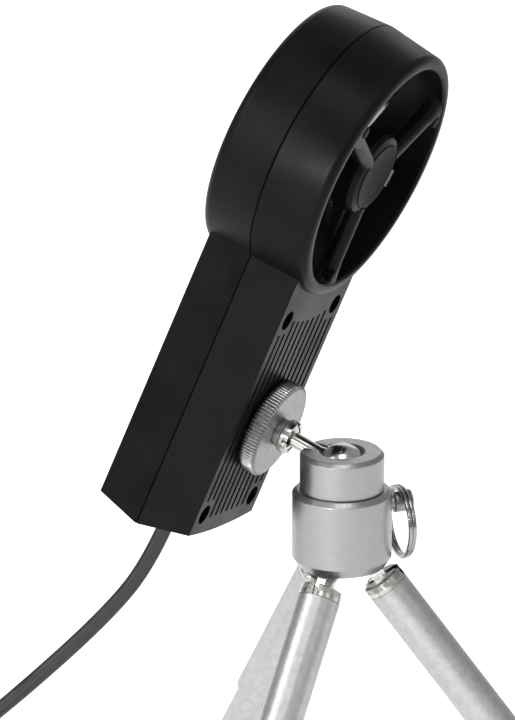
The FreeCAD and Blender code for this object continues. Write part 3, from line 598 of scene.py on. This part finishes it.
def spoke_feet():
    """Where each spoke meets the duct: an oval flare, and a round boss on its outer side."""
    for side, level, name in ((1, 12.2, "front"), (-1, -11.6, "rear")):
        shape = bmesh.new()
        for azimuth in (180, 60, -60):
            rings = []
            for reach, axial, across in (
                (22.6, 2.15, 2.18), (23.6, 2.28, 2.36), (24.8, 2.34, 2.62), (26.0, 2.38, 3.05), (27.2, 2.4, 3.7),
                (28.1, 2.4, 4.5), (28.8, 2.4, 5.2),
            ):
                ring = []
                for step in range(40):
                    angle = TURN * step / 40
                    place = Vector((level + axial * math.cos(angle), across * math.sin(angle), reach))
                    ring.append(shape.verts.new(turned(0, 0, azimuth) @ place))
                rings.append(ring)
            skin(shape, rings)
            for ring in (rings[0], rings[-1]):
                shape.faces.new(ring)
        piece = finish_mesh(f"{name}_spoke_feet", shape, HEAD)
        dress(piece, HOUSING, "sensor_head", "black_abs")
        bosses = bmesh.new()
        for azimuth in (180, 60, -60):
            spot = turned(0, 0, azimuth) @ turned(at=(level, 1.9, 26.4))
            boss = bmesh.new()
            end = side * 2.6
            profile = rounded([(0, 0), (0, 1.7), (end, 1.5), (end, 0)], 0.5)
            add_lathe(boss, profile, 32)
            boss.transform(spot)
            mesh = bpy.data.meshes.new("boss")
            boss.to_mesh(mesh)
            boss.free()
            bosses.from_mesh(mesh)
            bpy.data.meshes.remove(mesh)
        piece = finish_mesh(f"{name}_spoke_bosses", bosses, HEAD)
        dress(piece, HUB, "sensor_head", "hub_abs")


spoke_feet()


def hub_caps():
    """The dished covers in the hubs, each with a thin raised rim."""
    for side, level, name in ((1, 14.0, "front"), (-1, 13.4, "rear")):
        rim, lip = level + 0.25, 7.95
        line = [(level - 0.8, 0), (level - 0.8, 8.46), (level - 0.05, 8.46), (level + 0.22, 8.2), (rim, lip)]
        for step in range(1, 15):
            part = step / 14
            line.append((rim - 0.85 * math.sin(part * math.pi / 2) ** 0.8, lip * (1 - part)))
        line[-1] = (line[-1][0], 0)
        piece = lathe(f"{name}_hub_cover", [(side * along, radius) for along, radius in line], HEAD, 96)
        dress(piece, HUB, "sensor_head", "hub_abs", f"{name}_hub_cap")


hub_caps()


def impeller():
    """A rounded hub with eight thin twisted blades, their leading edges curved."""
    shape = bmesh.new()
    hub = rounded([(-6, 0.75), (-6, 7.6), (-5.2, 9), (5.2, 9), (6, 7.6), (6, 0.75)], 0.7, 5)
    add_lathe(shape, hub, 96)
    across, out = 10, 14
    for number in range(8):
        spin = turned(0, 0, 45 * number)
        layers = []
        for face in (0.5, -0.5):
            layer = []
            for row in range(out + 1):
                part = row / out
                reach = 8.4 + (27.0 - 8.4) * part
                angle = math.radians(38 + 20 * part)
                chord = 5.6 * (0.8 + 0.4 * part)
                corner = max(0.0, part - 0.8) / 0.2
                chord *= 1 - 0.22 * corner ** 3
                line = []
                for column in range(across + 1):
                    place = 2 * column / across - 1
                    camber = 0.75 * (1 - place * place) * (0.4 + 0.6 * part)
                    thick = 0.55 * (1 - 0.75 * abs(place) ** 6) * face
                    x = place * chord * math.cos(angle) - (camber + thick) * math.sin(angle)
                    y = place * chord * math.sin(angle) + (camber + thick) * math.cos(angle)
                    line.append(shape.verts.new(spin @ Vector((x, y, reach))))
                layer.append(line)
            skin(shape, layer, closed=False)
            layers.append(layer)
        top, bottom = layers
        rim_top = top[0] + [line[-1] for line in top[1:]] + top[-1][-2::-1] + [line[0] for line in top[-2:0:-1]]
        rim_low = bottom[0] + [line[-1] for line in bottom[1:]] + bottom[-1][-2::-1]
        rim_low += [line[0] for line in bottom[-2:0:-1]]
        skin(shape, [rim_top, rim_low])
    piece = finish_mesh("vane_wheel", shape, HEAD, 45)
    dress(piece, POLISHED, "rotor", "polished_aluminium", "impeller")


impeller()


# ---------- ball stud, nut and thumbwheel ----------

FLUTES = 84


def wheel_rim(angle, along, radius):
    """Straight flutes across the rim, run out at both chamfers."""
    if radius < 11.3:
        return radius
    wave = 0.5 - 0.5 * math.cos(FLUTES * angle)
    return radius - 0.55 * wave ** 1.3


wheel_line = [
    (12.8, 3.25), (12.8, 11.35), (13.0, 11.7), (13.3, 12.0), (14.2, 12.0), (15.0, 12.0), (15.9, 12.0),
    (16.75, 12.0), (17.05, 11.7), (17.2, 11.25), (17.2, 11.0), (17.12, 9.5), (17.05, 7.0), (17.05, 5.0),
    (17.1, 3.25),
]
wheel = lathe("knurled_wheel", wheel_line, STUD, FLUTES * 8, wheel_rim)
dress(wheel, WHEEL, "lock_wheel", "satin_aluminium", "thumbwheel")

NECK, BALL_AT, BALL_RADIUS = 1.9, 34.8, 5.7
thread_line = [(5.5, 0), (5.5, 2.6)]
for turn in range(14):
    start = 5.9 + turn * 0.84
    thread_line += [(start, 2.65), (start + 0.3, 3.15), (start + 0.5, 3.15), (start + 0.8, 2.65)]
thread_line = [point for point in thread_line if point[0] < 17.6] + [(17.8, 3.1), (20.6, 3.1), (20.9, 2.5)]
neck_line = [(21.2, NECK), (25, NECK), (28.4, NECK)]
first = math.asin(NECK / BALL_RADIUS) + 0.06
ball_line = []
for step in range(41):
    angle = first + (math.pi - first) * step / 40
    ball_line.append((BALL_AT - BALL_RADIUS * math.cos(angle), BALL_RADIUS * math.sin(angle)))
ball_line[-1] = (BALL_AT + BALL_RADIUS, 0)
stud = lathe("ball_and_neck", thread_line + neck_line + ball_line, STUD, 96)
dress(stud, CHROME, "stud", "chrome", "ball_stud")


def carve(piece, cutters):
    """Cuts boxes, each given by its low corner, high corner and placement, out of a piece."""
    for low, high, placement in cutters:
        shape = bmesh.new()
        bmesh.ops.create_cube(shape, size=1)
        size = [b - a for a, b in zip(low, high)]
        middle = [(a + b) / 2 for a, b in zip(low, high)]
        shape.transform(Matrix.Translation(middle) @ Matrix.Diagonal((*size, 1)))
        box = finish_mesh("cutter", shape, placement)
        cut = piece.modifiers.new("cut", "BOOLEAN")
        cut.operation = "DIFFERENCE"
        cut.solver = "EXACT"
        cut.object = box
        bpy.context.view_layer.update()
        cut_piece = piece.evaluated_get(bpy.context.evaluated_depsgraph_get())
        result = bpy.data.meshes.new_from_object(cut_piece)
        piece.modifiers.clear()
        piece.data = result
        bpy.data.objects.remove(box)
    piece.data.shade_smooth()
    piece.data.set_sharp_from_angle(angle=math.radians(30))


nut_line = [(17.5, 3.2), (17.5, 3.62), (18.6, 3.62), (18.7, 4.2), (19.4, 4.2), (20.9, 4.2), (20.9, 3.2)]
nut = lathe("lock_nut", nut_line, STUD, 96, soft=0.22)
carve(nut, [((19.7, -0.8, -6), (21.5, 0.8, 6), STUD), ((19.7, -6, -0.8), (21.5, 6, 0.8), STUD)])
dress(nut, CHROME, "stud", "chrome", "stud_nut")


# ---------- key ring ----------

POST = turned(20, at=(COLLAR.x, COLLAR.y, COLLAR.z + 13.8))
post_line = [(9.9, 0), (9.9, 1.7), (13.0, 1.7), (13.1, 2.45), (16.9, 2.45), (16.95, 2.75), (17.4, 2.75), (17.4, 0)]
post = lathe("ring_post", rounded(post_line, 0.14), POST, 72)
dress(post, SATIN, "tripod_head", "satin_aluminium", "keyring_post")


def split_ring():
    """Two turns of flattened wire, side by side, that cross over at one place."""
    low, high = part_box("keyring")
    middle = (low + high) / (2 * MM)
    placement = turned(20, at=middle)
    shape = bmesh.new()
    rings = []
    steps = 240
    for step in range(steps + 1):
        part = step / steps
        angle = TURN * 2 * part + math.radians(200)
        shift = 0.52 * math.tanh((part - 0.5) * 14)
        centre = Vector((shift, math.sin(angle) * 8.4, math.cos(angle) * 8.4))
        outward = Vector((0, math.sin(angle), math.cos(angle)))
        section = []
        for spot in range(16):
            turn = TURN * spot / 16
            wide, tall = math.cos(turn), math.sin(turn)
            flat = (abs(wide) ** 4 + abs(tall) ** 4) ** -0.25
            sideways = Vector((0.49 * wide * flat, 0, 0))
            section.append(shape.verts.new(centre + sideways + outward * 0.55 * tall * flat))
        rings.append(section)
    skin(shape, rings)
    for ring in (rings[0], rings[-1]):
        shape.faces.new(ring)
    piece = finish_mesh("split_ring", shape, placement, 50)
    dress(piece, RING_STEEL, "key_ring", "chrome", "keyring")


split_ring()


# ---------- legs ----------

def leg_details(number, azimuth):
    placement = leg_frame(azimuth)
    body = f"leg_{number}"
    # The plug: a chamfered head with three turns of thread above a smooth band, slotted for the tongue.
    line = [(-5.31, 0), (-5.31, 4.35), (-5.5, 4.62)]
    for turn in range(3):
        top = -5.62 - turn * 0.42
        line += [(top, 4.95 - 0.1), (top - 0.1, 5.06), (top - 0.2, 5.06), (top - 0.32, 4.86)]
    line += [(-6.95, 4.86), (-7.0, 5.08), (-8.2, 5.08), (-8.26, 4.6), (-13.2, 4.6), (-13.2, 0)]
    plug = lathe(f"slotted_plug_{number}", line, placement @ UPRIGHT, 96)
    carve(plug, [((-6, -1.25, -12.3), (6, 1.25, 0), placement)])
    dress(plug, CHROME, body, "chrome", f"leg_plug_{number}")
    # The tongue: a flat bar with a round eye.
    outline = [(1.8 * math.cos(math.pi * step / 24), 1.8 * math.sin(math.pi * step / 24)) for step in range(25)]
    outline += [(-1.8, -12.0), (1.8, -12.0)]
    shape = bmesh.new()
    sides = [[shape.verts.new((x, y, z)) for x, z in outline] for y in (-1.15, 1.15)]
    skin(shape, sides)
    for side in sides:
        shape.faces.new(side)
    sharp = [edge for edge in shape.edges if edge.is_manifold and edge.calc_face_angle(0) > SHARP_FOLD]
    bmesh.ops.recalc_face_normals(shape, faces=shape.faces)
    bmesh.ops.bevel(shape, geom=sharp, offset=0.14, segments=2, affect="EDGES")
    tongue = finish_mesh(f"bar_tongue_{number}", shape, placement, 30)
    dress(tongue, STEEL, body, "steel", f"leg_tongue_{number}")
    # The foot: a ribbed rubber cap with a domed end, cut flat where it stands.
    profile = [(-113.0, 0), (-113.0, 3.45), (-113.0, 4.05), (-113.4, 4.3), (-114.6, 4.4), (-114.9, 4.12)]
    profile += [(-115.3, 4.12), (-115.6, 4.4), (-116.6, 4.4), (-116.9, 4.12), (-117.3, 4.12), (-117.6, 4.4)]
    profile += [(-118.6, 4.4), (-119.8, 4.4)]
    for step in range(1, 12):
        angle = math.pi / 2 * step / 12
        profile.append((-119.8 - 4.4 * math.sin(angle), 4.4 * math.cos(angle)))
    profile.append((-124.2, 0))
    shape = bmesh.new()
    add_lathe(shape, profile, 72)
    piece = finish_mesh(f"rubber_foot_{number}", shape, placement @ UPRIGHT)
    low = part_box(f"leg_foot_{number}")[0].z
    for vertex in piece.data.vertices:
        vertex.co.z = max(vertex.co.z, low)
    dress(piece, RUBBER, f"leg_{number}_tip", "black_rubber", f"leg_foot_{number}")


for number, azimuth in ((1, 0), (2, 120), (3, 240)):
    leg_details(number, azimuth)


# ---------- materials of the CAD pieces that stay ----------

STAYING = {
    "front_bearing": BRASS, "rear_bearing": BRASS, "pickup_sensor": GREY, "housing_screws": STEEL,
    "main_board": BOARD, "signal_chip": CHIP, "board_capacitors": POLISHED, "lead_connector": NYLON,
    "stud_insert": BRASS, "cable_gland": RUBBER, "impeller_shaft": STEEL, "rotor_magnet": FERRITE,
    "clamp_cap": SATIN, "tripod_collar": SATIN, "leg_hub": SATIN, "ball_seat": NYLON,
}
for number in (1, 2, 3):
    STAYING[f"leg_pin_{number}"] = STEEL
    for part in ("tube", "middle", "tip"):
        STAYING[f"leg_{part}_{number}"] = TUBE
for name, look in STAYING.items():
    nodes[name].data.materials.clear()
    nodes[name].data.materials.append(look)


# ---------- floor and lights ----------

floor_mesh = bpy.data.meshes.new("floor")
floor_mesh.from_pydata([(-6, -6, 0), (6, -6, 0), (6, 10, 0), (-6, 10, 0)], [], [(0, 1, 2, 3)])
floor = bpy.data.objects.new("floor", floor_mesh)
bpy.context.scene.collection.objects.link(floor)
paper = Look("floor_paper", (0.9, 0.9, 0.9), 0.9)
paper.blend_colours(paper.ramp(paper.noise(0.4, 2.0), 0.0, 1.0), (0.9, 0.9, 0.9), (0.915, 0.915, 0.915))
paper.set(Emission_Color=(1, 1, 1, 1), Emission_Strength=0.6)
floor_mesh.materials.append(paper.done())


def soft_light(name, place, target, size, power):
    data = bpy.data.lights.new(name, "AREA")
    data.shape = "RECTANGLE"
    data.size, data.size_y = size
    data.energy = power
    light = bpy.data.objects.new(name, data)
    bpy.context.scene.collection.objects.link(light)
    light.location = place
    light.visible_camera = False
    light.rotation_euler = (Vector(target) - Vector(place)).to_track_quat("-Z", "Y").to_euler()


soft_light("key", (0.95, -0.8, 0.9), (0, 0, 0.15), (0.5, 0.8), 1.6)
soft_light("top", (0.0, -0.48, 1.4), (0, 0, 0.12), (0.7, 0.5), 3.6)
soft_light("low_left", (-0.72, -1.2, 0.5), (-0.02, -0.02, 0.2), (0.14, 0.14), 12.0)
soft_light("front", (0.1, -1.2, 1.05), (0, 0, 0.1), (0.3, 0.3), 1.6)
soft_light("left", (-0.95, -0.45, 0.85), (0, 0, 0.08), (0.5, 0.5), 5.5)
soft_light("back", (0.0, 1.5, 0.68), (0, 0, 0.13), (1.4, 0.6), 2.6)

world = bpy.data.worlds.new("studio")
world.use_nodes = True
world.node_tree.nodes["Background"].inputs["Color"].default_value = (0.9, 0.9, 0.9, 1)
world.node_tree.nodes["Background"].inputs["Strength"].default_value = 0.5
bpy.context.scene.world = world
bpy.context.scene.view_settings.view_transform = "Standard"

bpy.context.view_layer.update()
